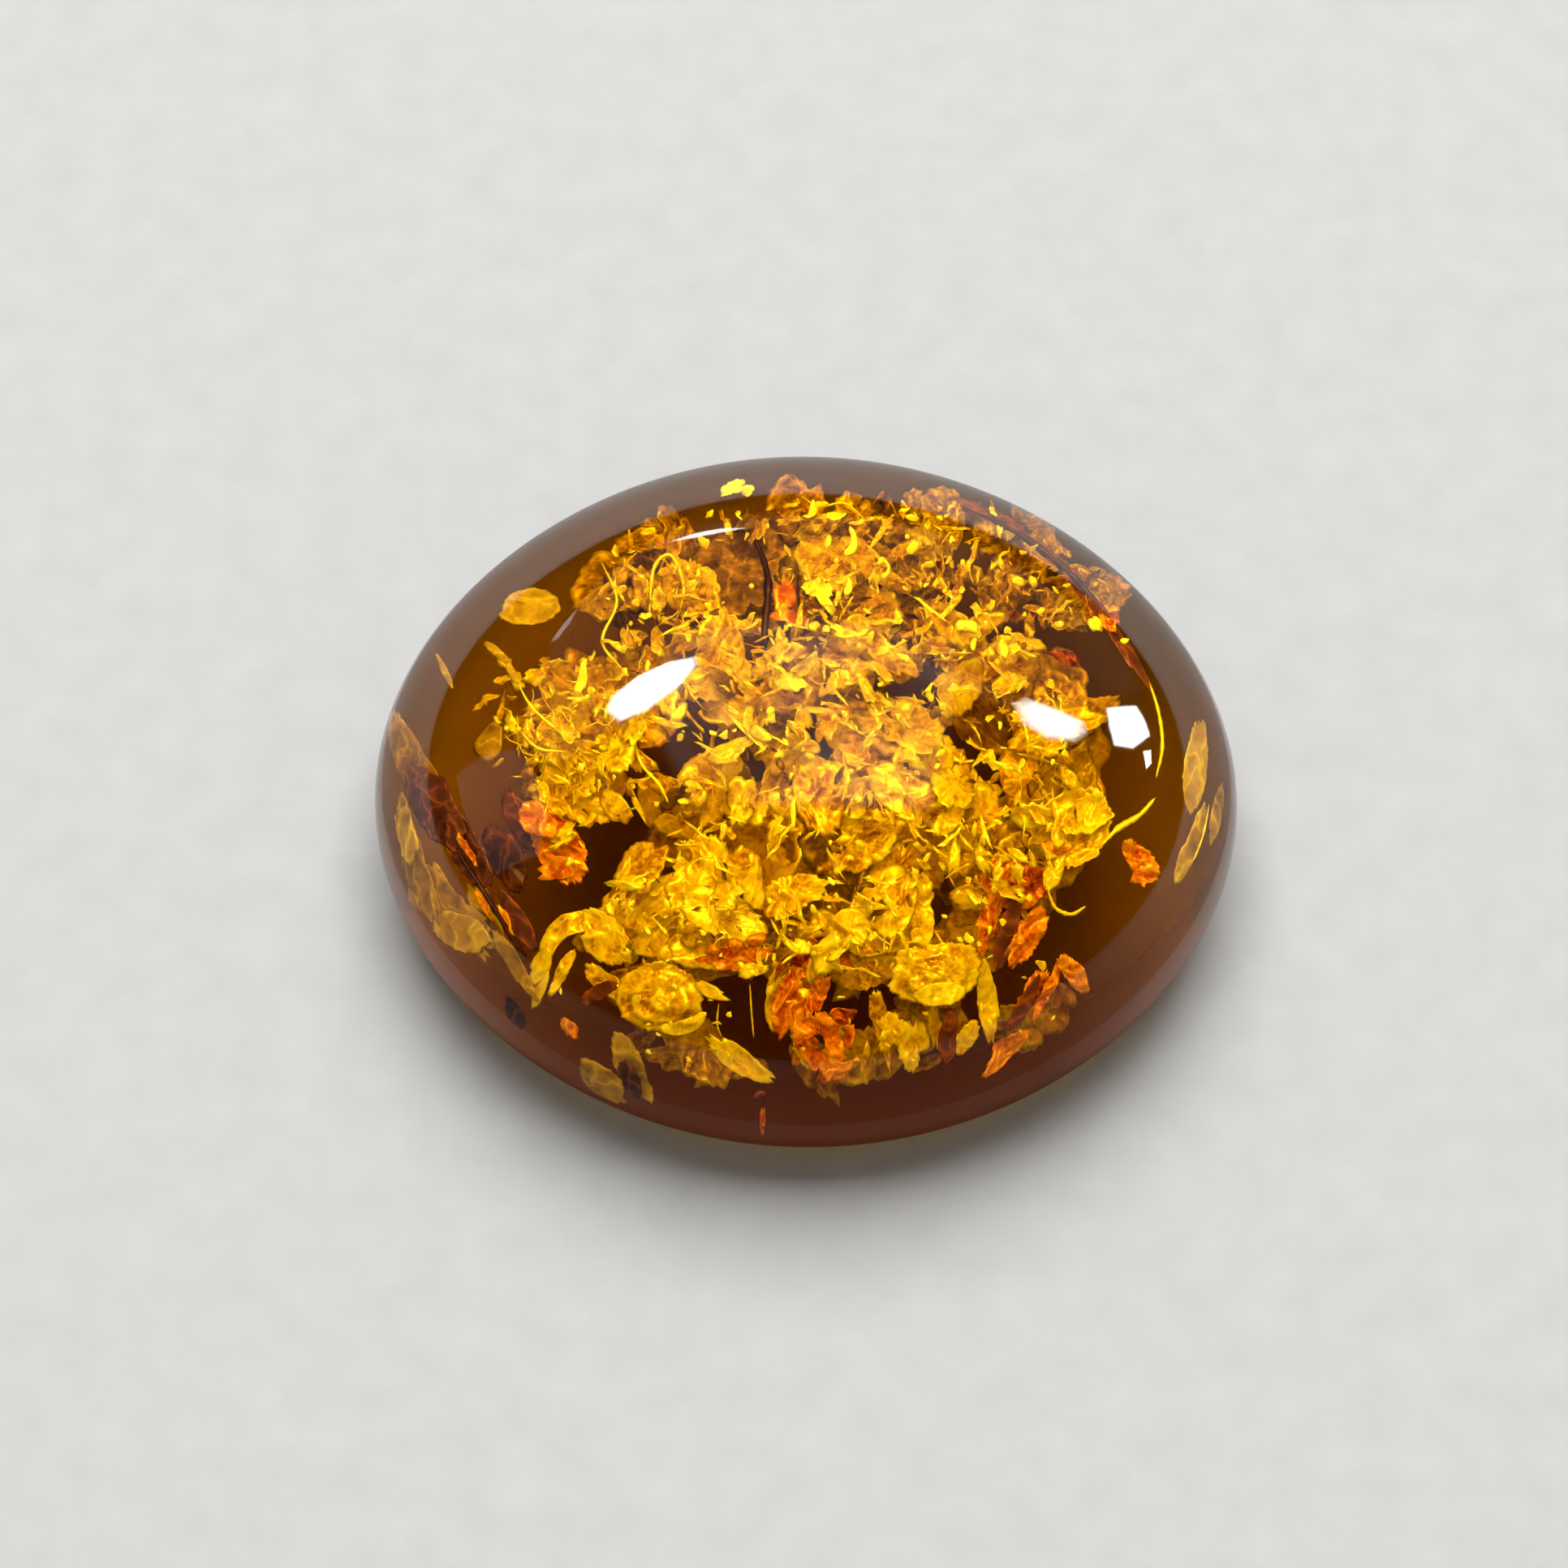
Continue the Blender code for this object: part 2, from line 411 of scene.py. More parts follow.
def add_ribbon(family, corners, half_width, tone=1.0, steps=8, crest=0.6, flat=0.45):
    """Adds a narrow band along a smooth curve through points of the stone, pointed at both ends."""
    path = smooth_path(corners, steps)
    count = len(path)
    points = [path[0]]
    side = None
    for here in range(1, count - 1):
        ahead = (path[here + 1] - path[here - 1]).normalized()
        turned = ahead.cross(BACK) if side is None else side - ahead * side.dot(ahead)
        side = turned.normalized()
        swell = math.sin(math.pi * here / (count - 1)) ** 0.5 * half_width * rng.uniform(0.75, 1.25)
        wide, thick = side * swell, side.cross(ahead) * swell * flat
        points += [path[here] + wide, path[here] + thick, path[here] - wide, path[here] - thick]
    points.append(path[-1])
    faces = []
    for ring in range(count - 3):
        for corner in range(4):
            a, b = 1 + ring * 4 + corner, 1 + ring * 4 + (corner + 1) % 4
            faces += [(a, b, b + 4), (a, b + 4, a + 4)]
    last = len(points) - 1
    for corner in range(4):
        after = (corner + 1) % 4
        faces.append((0, 1 + after, 1 + corner))
        faces.append((last, last - 4 + corner, last - 4 + after))
    # The whole thread gets the same painted crest highlight.
    marks = np.full(len(points), crest)
    family.add(np.array(points), np.array(faces), tone, marks, marks * 0)


def add_line(family, corners, half_width, **shape):
    """Adds a ribbon through points given as (x, y, depth) in the photograph, its half width in pixels."""
    places = [look_inside(x, y, depth)[0] for x, y, depth in corners]
    add_ribbon(family, places, half_width * PIXEL_AT_AIM, **shape)


def add_seen(family, x, y, long_half, short_half, turn=0, depth=2.0, lean=0, nod=0, **shape):
    """Adds a sheet seen at a pixel of the photograph. Half sizes are in pixels and turns in degrees.

    Lean and nod tip it away from the eye, across and along its length. The outline that shows stays.
    """
    middle, inward = look_inside(x, y, depth)
    across, down = (math.copysign(10, centre - at) for at, centre in zip((x, y), STONE_PIXEL))
    right = (look_inside(x + across, y, depth)[0] - middle) / across
    up = (look_inside(x, y + down, depth)[0] - middle) / -down
    heading = math.radians(turn)
    long_axis = (right * math.cos(heading) + up * math.sin(heading)) * long_half
    short_axis = (up * math.cos(heading) - right * math.sin(heading)) * short_half
    long_axis += inward * long_axis.length * math.tan(math.radians(nod))
    short_axis += inward * short_axis.length * math.tan(math.radians(lean))
    add_sheet(family, middle, long_axis, short_axis, **shape)


# Materials
def new_material(name):
    material = bpy.data.materials.new(name)
    material.use_nodes = True
    nodes, links = material.node_tree.nodes, material.node_tree.links
    return material, nodes, links, nodes["Principled BSDF"]


def amber_material():
    """Clear amber, polished all over but for the flat back, which is only ground."""
    material, nodes, links, surface = new_material("clear_amber")
    surface.inputs["Base Color"].default_value = (1, 1, 1, 1)
    surface.inputs["IOR"].default_value = AMBER_IOR
    surface.inputs["Transmission Weight"].default_value = 1.0
    place = nodes.new("ShaderNodeTexCoord")
    smears = nodes.new("ShaderNodeTexNoise")
    smears.inputs["Scale"].default_value = 420
    smears.inputs["Detail"].default_value = 3
    links.new(place.outputs["Object"], smears.inputs["Vector"])
    gloss = nodes.new("ShaderNodeMapRange")
    gloss.inputs["From Min"].default_value = 0.35
    gloss.inputs["From Max"].default_value = 0.75
    gloss.inputs["To Min"].default_value = 0.012
    gloss.inputs["To Max"].default_value = 0.05
    links.new(smears.outputs["Fac"], gloss.inputs["Value"])
    height = nodes.new("ShaderNodeSeparateXYZ")
    links.new(place.outputs["Object"], height.inputs["Vector"])
    ground = nodes.new("ShaderNodeMapRange")
    ground.inputs["From Min"].default_value = 0.02 * MM
    ground.inputs["From Max"].default_value = 0.10 * MM
    ground.inputs["To Min"].default_value = 0.42
    ground.inputs["To Max"].default_value = 0
    links.new(height.outputs["Z"], ground.inputs["Value"])
    rough = math_node(nodes, links, "MAXIMUM", gloss.outputs["Result"], ground.outputs["Result"])
    links.new(rough, surface.inputs["Roughness"])
    absorption = nodes.new("ShaderNodeVolumeAbsorption")
    density = max(ABSORBED_PER_MM)
    absorption.inputs["Density"].default_value = density / MM
    absorption.inputs["Color"].default_value = [1 - part / density for part in ABSORBED_PER_MM] + [1]
    links.new(absorption.outputs["Volume"], nodes["Material Output"].inputs["Volume"])
    return material


def attribute(nodes, name):
    node = nodes.new("ShaderNodeAttribute")
    node.attribute_name = name
    return node.outputs["Fac"]


def math_node(nodes, links, operation, first, second):
    node = nodes.new("ShaderNodeMath")
    node.operation = operation
    for socket, value in zip(node.inputs, (first, second)):
        if isinstance(value, (int, float)):
            socket.default_value = value
        else:
            links.new(value, socket)
    return node.outputs[0]


FOIL_METALLIC = 0.25
FOIL_ROUGHNESS = 0.32


def spangle_material(name, dark, mid, bright, glow=0.12, crease_highlight_and_bump=0.2, mottling=1.4):
    """Foil-like: dull where the sheet is level, with painted highlights on the creases and the thin rim,
    and mottled.

    A little glow stands in for the light that is scattered to and fro between the films.
    """
    material, nodes, links, surface = new_material(name)
    material.cycles.emission_sampling = "NONE"
    place = nodes.new("ShaderNodeTexCoord")
    mottle = nodes.new("ShaderNodeTexNoise")
    mottle.inputs["Scale"].default_value = 1900
    mottle.inputs["Detail"].default_value = 3
    mottle.inputs["Roughness"].default_value = 0.65
    links.new(place.outputs["Object"], mottle.inputs["Vector"])
    shift = nodes.new("ShaderNodeVectorMath")
    shift.operation = "MULTIPLY_ADD"
    links.new(mottle.outputs["Color"], shift.inputs[0])
    shift.inputs[1].default_value = (0.5 * MM, 0.5 * MM, 0.5 * MM)
    links.new(place.outputs["Object"], shift.inputs[2])
    creases = nodes.new("ShaderNodeTexVoronoi")
    creases.feature = "DISTANCE_TO_EDGE"
    creases.inputs["Scale"].default_value = 2700
    links.new(shift.outputs["Vector"], creases.inputs["Vector"])
    # Painted highlight lines along the edges of the fine cell pattern; the same pattern also drives the
    # bump.
    painted_crease_lines = nodes.new("ShaderNodeMapRange")
    painted_crease_lines.inputs["From Min"].default_value = 0
    painted_crease_lines.inputs["From Max"].default_value = 0.09
    painted_crease_lines.inputs["To Min"].default_value = crease_highlight_and_bump
    painted_crease_lines.inputs["To Max"].default_value = 0
    links.new(creases.outputs["Distance"], painted_crease_lines.inputs["Value"])
    # Painted highlights: the crests and the thin rim of each sheet get a brighter colour.
    crest = math_node(nodes, links, "MULTIPLY", attribute(nodes, "crest"), 0.50)
    rim = math_node(nodes, links, "MULTIPLY", attribute(nodes, "rim"), 0.22)
    tone = math_node(nodes, links, "MULTIPLY", attribute(nodes, "tone"), 0.38)
    patch = math_node(nodes, links, "MULTIPLY_ADD", mottle.outputs["Fac"], mottling)
    patch.node.inputs[2].default_value = 0.07 - mottling / 2
    total = math_node(nodes, links, "ADD", crest, rim)
    total = math_node(nodes, links, "ADD", total, tone)
    total = math_node(nodes, links, "ADD", total, patch)
    total = math_node(nodes, links, "ADD", total, painted_crease_lines.outputs["Result"])
    ramp = nodes.new("ShaderNodeValToRGB")
    ramp.color_ramp.elements[0].position = 0.08
    ramp.color_ramp.elements[0].color = (*dark, 1)
    ramp.color_ramp.elements[1].position = 0.85
    ramp.color_ramp.elements[1].color = (*bright, 1)
    middle = ramp.color_ramp.elements.new(0.42)
    middle.color = (*mid, 1)
    links.new(total, ramp.inputs["Fac"])
    links.new(ramp.outputs["Color"], surface.inputs["Base Color"])
    links.new(ramp.outputs["Color"], surface.inputs["Emission Color"])
    surface.inputs["Emission Strength"].default_value = glow
    surface.inputs["Metallic"].default_value = FOIL_METALLIC
    surface.inputs["IOR"].default_value = 1.5
    surface.inputs["Specular IOR Level"].default_value = 0.12
    gloss = math_node(nodes, links, "MULTIPLY_ADD", mottle.outputs["Fac"], 0.35)
    gloss.node.inputs[2].default_value = FOIL_ROUGHNESS - 0.175
    links.new(gloss, surface.inputs["Roughness"])
    bump = nodes.new("ShaderNodeBump")
    bump.inputs["Strength"].default_value = 2 * crease_highlight_and_bump
    bump.inputs["Distance"].default_value = 0.02 * MM
    links.new(creases.outputs["Distance"], bump.inputs["Height"])
    links.new(bump.outputs["Normal"], surface.inputs["Normal"])
    return material


# The stone, and what shows inside it
mesh, stone_tree = stone_mesh()
stone = bpy.data.objects.new("amber_stone", mesh)
bpy.context.scene.collection.objects.link(stone)
mesh.materials.append(amber_material())
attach(stone, "root")
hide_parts(*STONE_NODES)

# Where the clear amber shows between the spangles: the middle and the half sizes, in pixels.
DARK_GAPS = [
    (825, 932, 26, 18), (762, 1032, 30, 20), (925, 1240, 24, 44), (690, 1090, 60, 24),
    (1150, 1105, 18, 26), (1070, 1245, 14, 30), (724, 1200, 34, 34), (915, 705, 40, 40),
    (1370, 1150, 60, 50),
]  # fmt: skip
GAP_MARGIN = 0.45  # of a piece's own half size

# Painted shade, darker towards the back of the stone: the spangles are dimmest over the first of these
# heights in the photograph and brightest under the second.
DIM_AT, BRIGHT_AT = 700, 890
DIMMEST = 0.15


def open_gap(x, y, size):
    """Whether a piece of that size would cover one of the dark gaps."""
    margin = size * GAP_MARGIN
    return any(
        ((x - gap_x) / (wide + margin)) ** 2 + ((y - gap_y) / (tall + margin)) ** 2 < 1
        for gap_x, gap_y, wide, tall in DARK_GAPS
    )


def somewhere(middle, spread, size):
    """A random place in an oval of the photograph, away from the dark gaps."""
    while True:
        bearing, out = rng.uniform(0, 2 * math.pi), math.sqrt(rng.uniform())
        x = middle[0] + spread[0] * out * math.cos(bearing)
        y = middle[1] + spread[1] * out * math.sin(bearing)
        if on_stone(x, y) and not open_gap(x, y, size):
            return x, y


def painted_brightness_at(y):
    """How bright the spangles are painted at a height in the photograph, as a share of the brightest:
    painted shade towards the back of the stone.
    """
    return min(1, max(DIMMEST, (y - DIM_AT) / (BRIGHT_AT - DIM_AT)))


def scatter(
    family, count, middle, spread, sizes, depths, tones=(0, 1), lean=65, slim=(0.35, 0.85), **shape
):  # fmt: skip
    """Adds sheets at random in an oval of the photograph."""
    for _ in range(count):
        size = rng.uniform(*sizes)
        x, y = somewhere(middle, spread, size)
        # Each strewn sheet's tone is darkened towards the back of the stone: painted shade.
        add_seen(
            family, x, y, size, size * rng.uniform(*slim),
            turn=rng.uniform(0, 180), depth=rng.uniform(*depths),
            lean=rng.uniform(-lean, lean), nod=rng.uniform(-lean, lean) * 0.6,
            tone=rng.uniform(*tones) * painted_brightness_at(y), **shape,
        )  # fmt: skip


def scatter_lines(family, count, middle, spread, lengths, widths, depths, heading=None):
    """Adds curved threads at random in an oval of the photograph."""
    for _ in range(count):
        length = rng.uniform(*lengths)
        x, y = somewhere(middle, spread, length * 0.3)
        depth = rng.uniform(*depths)
        way = rng.uniform(0, 2 * math.pi) if heading is None else math.radians(rng.normal(heading, 25))
        corners = []
        curve = rng.normal(0, 0.5)
        for _ in range(5):
            corners.append((x, y, depth))
            x, y = x + length / 4 * math.cos(way), y - length / 4 * math.sin(way)
            way += curve + rng.normal(0, 0.35)
            depth = max(depths[0], depth + rng.normal(0, 0.12))
        if all(on_stone(*corner[:2]) for corner in corners):
            add_line(family, corners, rng.uniform(*widths), steps=4, tone=rng.uniform(0.4, 1))


def place_all(family, sheets, **common):
    """Adds listed sheets: (x, y, half length, half breadth, turn, depth, what else shapes it)."""
    for x, y, long_half, short_half, turn, depth, shape in sheets:
        add_seen(family, x, y, long_half, short_half, turn, depth, **{**common, **shape})


GOLD_SHELLS = [
    (817, 1232, 54, 46, -10, 1.7, dict(tone=0.2, bulge=0.2, ripple=0.04, rag=0.12)),
    # A bright crescent along the lower edge of the disc above: a painted highlight.
    (842, 1266, 34, 10, 16, 1.35, dict(tone=1.0, bend=0.7, rag=0.1)),
    (880, 1224, 24, 15, -22, 1.5, dict(tone=0.6, point=0.9)),
    (710, 1136, 78, 15, 192, 1.7, dict(tone=0.5, bend=1.45, rag=0.12)),
    (748, 1160, 50, 24, -46, 1.7, dict(tone=0.7)),
    (668, 1188, 30, 13, 62, 1.5, dict(tone=1.0)),
    (785, 1118, 58, 36, 30, 2.0, dict(tone=0.5)),
    (908, 1302, 56, 14, -33, 1.7, dict(tone=0.8)),
    (1150, 1196, 56, 38, 8, 1.5, dict(tone=0.4, bulge=0.2, ripple=0.03, rag=0.15)),
    (1160, 1224, 36, 15, 5, 1.25, dict(tone=1.0, rag=0.1)),
    (1098, 1268, 30, 22, 60, 1.9, dict(tone=0.7, rag=0.3)),
    (1125, 1290, 34, 18, 85, 1.9, dict(tone=0.8, rag=0.3)),
    (1150, 1262, 12, 34, 5, 2.1, dict(tone=0.3, rag=0.2)),
    (1190, 1280, 30, 14, 60, 1.9, dict(tone=0.9, rag=0.25)),
    (1216, 1240, 58, 13, -82, 1.8, dict(tone=0.6, rag=0.2)),
    (1138, 1148, 34, 13, 80, 1.7, dict(tone=0.8, rag=0.25)),
    (1075, 1200, 44, 20, 20, 2.2, dict(tone=0.1)),
    (830, 1150, 60, 40, -30, 2.2, dict(tone=0.5)),
    (770, 1110, 50, 30, 50, 2.2, dict(tone=0.3)),
    (745, 1210, 40, 16, -40, 1.9, dict(tone=0.6)),
    (1030, 1290, 44, 14, 75, 1.9, dict(tone=0.6, rag=0.3)),
    (985, 1290, 40, 12, -72, 1.9, dict(tone=0.5, rag=0.3)),
    (955, 1232, 46, 11, 86, 1.9, dict(tone=0.4)),
    (692, 1200, 34, 9, 62, 1.6, dict(tone=0.6)),
    (664, 1222, 30, 7, 70, 1.5, dict(tone=0.9)),
    (1047, 1143, 29, 27, 40, 1.2, dict(tone=0.9, rag=0.1)),
    (1176, 1058, 9, 26, -10, 1.3, dict(tone=1.0)),
    (1210, 1060, 9, 22, 20, 1.3, dict(tone=0.9)),
    (1318, 1030, 54, 42, 62, 1.7, dict(tone=0.3, ripple=0.04, curl=0.2)),
    (1300, 1072, 40, 20, 70, 1.5, dict(tone=0.8, point=0.5)),
    (1340, 1000, 36, 24, 35, 1.5, dict(tone=0.9, curl=0.25)),
    (1085, 1262, 62, 24, -80, 2.1, dict(tone=0.1, point=0.9)),
    (1064, 1306, 20, 7, -100, 1.8, dict(tone=0.4, point=0.9)),
    (930, 1196, 21, 13, 12, 1.1, dict(tone=0.8, point=0.6)),
    (860, 1080, 54, 34, 60, 1.9, dict(tone=0.8)),
    (1130, 1120, 44, 22, 80, 1.9, dict(tone=0.5)),
    (975, 1100, 46, 32, 10, 1.9, dict(tone=0.4)),
    (1060, 1040, 46, 30, 40, 2.0, dict(tone=0.4)),
]
ORANGE_FLAKES = [
    (596, 1112, 22, 6, -64, 0.7, dict(tone=1.0)),
    (575, 1046, 28, 5, -60, 0.7, dict(tone=0.6)),
    (622, 1130, 26, 6, -62, 0.75, dict(tone=0.7)),
    (664, 1010, 26, 20, -30, 1.5, dict(tone=0.9)),
    (690, 1072, 30, 16, 10, 1.6, dict(tone=1.0)),
    (683, 1036, 60, 30, -56, 1.8, dict(tone=0.8)),
    (906, 1178, 46, 18, 8, 1.25, dict(tone=0.5)),
    (906, 1164, 12, 8, 0, 1.0, dict(tone=1.0, bulge=0.15)),
    (934, 1158, 14, 9, 20, 1.0, dict(tone=1.0, bulge=0.15)),
    (880, 1170, 12, 8, 0, 1.0, dict(tone=0.8, bulge=0.15)),
    (990, 1190, 30, 18, 40, 1.6, dict(tone=0.2)),
    (975, 1232, 48, 20, 82, 1.6, dict(tone=0.6)),
    (1008, 1225, 34, 14, 70, 1.5, dict(tone=0.3)),
    (1008, 1285, 46, 30, -62, 1.5, dict(tone=0.7, hole=0.25)),
    (1032, 1320, 22, 13, 30, 1.4, dict(tone=0.9)),
    (1252, 1086, 44, 34, 10, 1.7, dict(tone=0.4, rag=0.1)),
    (1218, 1130, 62, 14, 74, 1.6, dict(tone=0.7, bend=-0.3)),
    (1262, 1158, 44, 22, 60, 1.5, dict(tone=0.8)),
    (1270, 1225, 50, 16, 62, 1.6, dict(tone=0.3)),
    (1290, 1222, 44, 8, 66, 1.5, dict(tone=0.8)),
    (1242, 1290, 44, 12, 46, 1.4, dict(tone=1.0)),
    (1321, 1196, 31, 17, -56, 1.2, dict(tone=1.0)),
    (1404, 1062, 40, 20, -56, 1.0, dict(tone=0.9)),
    (702, 1268, 17, 9, -58, 0.9, dict(tone=1.0)),
    (940, 1382, 18, 4, 92, 0.6, dict(tone=0.5)),
    (967, 732, 15, 21, -4, 1.6, dict(tone=0.8, folds=2)),
    (975, 760, 25, 11, -8, 1.6, dict(tone=0.9, folds=2)),
    (1300, 1045, 22, 14, 10, 1.3, dict(tone=0.9)),
    (1352, 755, 32, 10, -50, 1.0, dict(tone=0.3)),
]
DARK_VEILS = [
    (1380, 790, 74, 9, -54, 1.0, dict(tone=0.9, folds=2)),
    (1340, 735, 60, 7, -48, 1.1, dict(tone=1.0, folds=2)),
    (1222, 636, 50, 8, -24, 1.1, dict(tone=0.9)),
    (1300, 690, 60, 8, -38, 1.2, dict(tone=0.7)),
    (534, 990, 66, 27, -58, 0.9, dict(tone=0.3)),
    (578, 1050, 62, 21, -60, 0.9, dict(tone=0.2)),
    (624, 1060, 44, 22, -66, 1.6, dict(tone=0.1)),
    (636, 1130, 46, 12, -60, 0.9, dict(tone=0.5)),
    (776, 1330, 27, 12, -64, 0.7, dict(tone=0.1, rag=0.08)),
    (634, 1244, 25, 11, -66, 0.8, dict(tone=0.1)),
    (1241, 1150, 46, 14, 76, 1.45, dict(tone=0.8)),
    (1168, 1280, 34, 11, 84, 1.4, dict(tone=0.9)),
    # A dark sheet beside the orange flake at (683, 1036): painted shade.
    (646, 1012, 44, 18, -60, 2.0, dict(tone=0.6)),
    (740, 1222, 30, 10, 30, 1.5, dict(tone=0.8)),
    (936, 1351, 9, 7, 30, 0.7, dict(tone=1.0)),
    (1262, 1236, 40, 10, 62, 1.45, dict(tone=0.9)),
]
BROWN_FILMS = [
    (905, 702, 66, 52, 20, 2.6, dict(tone=0.2)),
    (858, 724, 44, 34, 30, 2.9, dict(tone=0.5)),
    (950, 660, 40, 30, 10, 3.0, dict(tone=0.3)),
]
PALE_LEAVES = [
    (524, 970, 108, 24, -60, 1.5, dict(tone=0.0, point=0.4)),
    (508, 1060, 80, 24, -73, 1.0, dict(tone=0.3, point=0.3, rag=0.25)),
    (546, 1112, 78, 34, -52, 1.2, dict(tone=0.6, point=0.2, rag=0.25)),
    (566, 1146, 44, 26, -20, 1.0, dict(tone=1.0)),
    (606, 1140, 60, 18, -66, 1.3, dict(tone=0.7, point=0.6)),
    (636, 1190, 58, 15, -60, 1.1, dict(tone=0.5, point=0.6)),
    (500, 1030, 40, 14, -80, 0.5, dict(tone=0.5)),
    (780, 1318, 50, 24, -62, 0.9, dict(tone=0.7, point=0.6, rag=0.1)),
    (740, 1334, 38, 18, -36, 0.7, dict(tone=0.7)),
    (1476, 940, 62, 15, 84, 0.6, dict(tone=0.8)),
    (1470, 1040, 52, 12, 68, 0.6, dict(tone=0.7)),
    (1500, 1000, 40, 8, 80, 0.4, dict(tone=0.4)),
    (650, 746, 38, 23, 8, 1.1, dict(tone=1.0, rag=0.12)),
    (615, 806, 22, 7, -42, 0.9, dict(tone=1.0)),
    (632, 830, 16, 6, -60, 0.9, dict(tone=1.0)),
    (603, 914, 25, 18, 66, 1.2, dict(tone=0.3, rag=0.1, folds=2)),
    (548, 826, 24, 5, -64, 0.4, dict(tone=0.6)),
]
BUBBLES = [
    (661, 936), (624, 897), (639, 898), (675, 917), (926, 722), (970, 813), (1118, 661), (1164, 728),
    (960, 815),
]  # fmt: skip
YELLOW_GLINTS = [
    (1008, 726, 26, 18, -30, 1.1, dict(rag=0.25)),
    (1022, 748, 12, 7, -60, 1.1, dict()),
    (1051, 672, 18, 6, 70, 1.1, dict(bend=0.7)),
    (1030, 636, 12, 7, 20, 1.0, dict()),
    (1001, 630, 14, 5, 60, 1.0, dict(bend=0.8)),
    (1020, 668, 9, 5, 80, 1.0, dict()),
    (1089, 699, 14, 9, 85, 1.1, dict(hole=0.5, rag=0.1)),
    (1047, 724, 12, 5, 80, 1.0, dict(bend=0.6)),
    (1045, 782, 26, 6, -10, 1.1, dict(bend=1.0)),
    (975, 840, 19, 12, -20, 1.0, dict()),
    (1194, 770, 17, 10, -10, 1.1, dict()),
    (1200, 794, 10, 4, 80, 1.1, dict()),
    (1236, 799, 13, 9, 80, 1.1, dict()),
    (1114, 809, 10, 5, -30, 1.0, dict()),
    (1282, 753, 6, 4, 30, 1.0, dict()),
    (1125, 638, 9, 3, 0, 0.9, dict()),
    (905, 600, 18, 8, 20, 0.8, dict()),
    (922, 604, 8, 6, -20, 0.8, dict()),
    (718, 830, 24, 9, 78, 1.1, dict(point=0.7)),
    (1350, 770, 14, 6, -50, 1.0, dict()),
    (1385, 790, 6, 4, 20, 0.9, dict()),
]
YELLOW_LINES = [  # the half width, then the points run through: pixel and depth
    (3.0, [(800, 760, 1.3), (806, 700, 1.3), (826, 684, 1.3), (842, 720, 1.3), (838, 752, 1.4)]),
    (2.4, [(740, 690, 1.2), (760, 740, 1.2), (742, 790, 1.3), (768, 826, 1.3)]),
    (2.0, [(985, 610, 0.9), (1010, 624, 1.0), (1040, 620, 1.0), (1066, 640, 1.0)]),
    (1.2, [(924, 1212, 1.4), (926, 1244, 1.5), (929, 1280, 1.6)]),
    (1.2, [(886, 1236, 1.3), (884, 1262, 1.4), (890, 1278, 1.5)]),
    (2.6, [(1290, 1094, 1.4), (1300, 1118, 1.4), (1320, 1126, 1.3), (1338, 1116, 1.2)]),
    (3.5, [(1356, 1042, 1.1), (1378, 1020, 1.1), (1404, 1004, 1.0), (1424, 982, 0.9)]),
    (3.0, [(1424, 960, 0.8), (1432, 920, 0.8), (1428, 880, 0.8), (1416, 840, 0.8)]),
    (2.2, [(636, 838, 1.0), (656, 872, 1.0), (690, 900, 1.1), (712, 900, 1.2)]),
    (2.2, [(640, 900, 1.1), (664, 922, 1.1), (700, 926, 1.2)]),
    (2.4, [(778, 900, 1.2), (790, 940, 1.2), (812, 966, 1.2), (824, 990, 1.3)]),
    (2.0, [(1490, 990, 0.5), (1482, 1030, 0.5), (1466, 1070, 0.6)]),
]
DARK_LINES = [
    (5.0, [(930, 662, 1.5), (946, 712, 1.5), (942, 776, 1.6), (944, 800, 1.7)]),
    (2.0, [(982, 706, 1.4), (985, 756, 1.4)]),
    (4.0, [(560, 1042, 0.6), (596, 1098, 0.6), (632, 1156, 0.7), (650, 1180, 0.8)]),
    (7.0, [(1180, 622, 1.0), (1259, 661, 1.0), (1330, 720, 1.0), (1393, 814, 1.0)]),
]

gold = Family("gold_spangles")
crumbs = Family("small_gold_spangles")
ochre = Family("ochre_spangles")
# Dark olive sheets: painted shade strewn in the gaps between the spangles, and the listed brown films.
shade_spots_and_films = Family("olive_shade_spots_and_films")
shells = Family("gold_shells")
orange = Family("orange_spangles")
veils = Family("dark_veils")
leaves = Family("pale_leaves")
glints = Family("yellow_glints")
threads = Family("gold_threads")

place_all(shells, GOLD_SHELLS, most_rings=20, grain=0.065, fold_depth=0.08)
place_all(orange, ORANGE_FLAKES, most_rings=24, grain=0.055)
place_all(veils, DARK_VEILS, folds=3, fold_depth=0.05, rag=0.15)
place_all(leaves, PALE_LEAVES, folds=2, fold_depth=0.04, rag=0.15)
place_all(shade_spots_and_films, BROWN_FILMS, folds=2, fold_depth=0.05, rag=0.15)
place_all(glints, YELLOW_GLINTS, tone=1.0, folds=3)
# Gas bubbles, drawn as small pale-gold specks with the glints: a painted highlight for each bubble's bright
# point.
for x, y in BUBBLES:
    add_seen(glints, x, y, 3.5, 3.5, depth=0.7, rag=0, folds=0, bulge=0.04, tone=0.5)
for half_width, corners in YELLOW_LINES:
    add_line(threads, corners, half_width)
for half_width, corners in DARK_LINES:
    add_line(veils, corners, half_width, tone=0.2, crest=0)

# The rest is strewn: how many, in which oval, half sizes, depths, tones, and shapes that several share.
HEART = (1010, 950)
UPPER = (1060, 718)
BACKDROP = dict(most_rings=11, grain=0.09)
SMOOTH = dict(lean=36, grain=0.085, fold_depth=0.07)
SPOTS = dict(rag=0.35, folds=3, fold_depth=0.05, grain=0.09)
BITS = dict(rag=0.35, folds=4, grain=0.08)
SPECKS = dict(slim=(0.25, 0.8), rag=0.3, folds=2)
SLIVERS = dict(slim=(0.06, 0.18), rag=0.4, grain=0.09)

